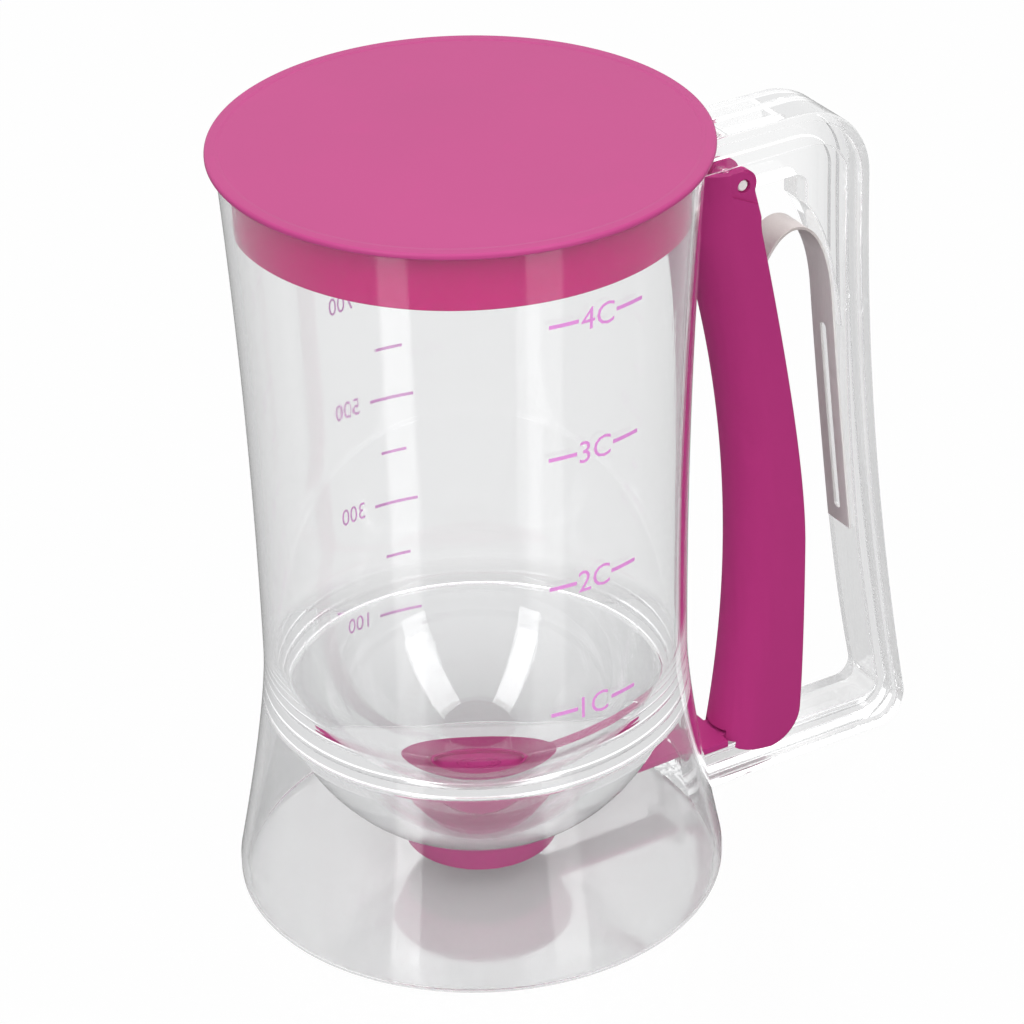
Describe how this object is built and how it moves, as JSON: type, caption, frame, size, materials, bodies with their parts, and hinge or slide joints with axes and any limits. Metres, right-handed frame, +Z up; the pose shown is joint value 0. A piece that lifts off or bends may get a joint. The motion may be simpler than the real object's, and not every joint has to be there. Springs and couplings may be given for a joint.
{
  "type": "pancake batter dispenser",
  "caption": "Clear jug-shaped batter dispenser with a lift-off plug lid, a C-shaped handle and a spring trigger that slides a valve plate under the outlet.",
  "frame": {"origin": "centre of the container's foot, on the surface that it stands on", "axes": "+Z up along the container's axis, +X from that axis towards the handle, +Y to the left when looking along +X from above"},
  "size_m": [0.1752, 0.1144, 0.187],
  "materials": {
    "clear_plastic": "clear polished",
    "pink_lid_plastic": "satin moulded",
    "pink_plastic": "fine matte moulded",
    "pin_steel": "cut and tumbled",
    "spring_steel": "rolled strip",
    "seal_rubber": "translucent silicone",
    "scale_ink": "screen-printed ink of the two scales"
  },
  "bodies": {
    "container": {"container": "clear_plastic", "handle_frame": "clear_plastic", "valve_housing": "pink_plastic", "outlet_seal": "seal_rubber", "trigger_pin": "pin_steel", "return_spring": "spring_steel"},
    "lid": {"lid": "pink_lid_plastic"},
    "trigger": {"trigger": "pink_plastic"},
    "slider": {"valve_slider": "pink_plastic"}
  },
  "joints": [
    {"name": "lid_lift", "type": "slide", "parent": "container", "child": "lid", "axis": [0, 0, 1], "range_m": [0, 0.05]},
    {"name": "trigger_hinge", "type": "hinge", "parent": "container", "child": "trigger", "pos_m": [0.069, 0, 0.1601], "axis": [0, -1, 0], "range_deg": [0, 7.5], "stiffness_Nm_per_rad": 4, "springref_deg": -5.73, "deforming": ["return_spring"]},
    {"name": "slider_travel", "type": "slide", "parent": "container", "child": "slider", "axis": [1, 0, 0], "range_m": [0, 0.0196]}
  ],
  "couplings": [
    {"joint": "slider_travel", "follows": "trigger_hinge", "m_per_rad": 0.1465}
  ]
}
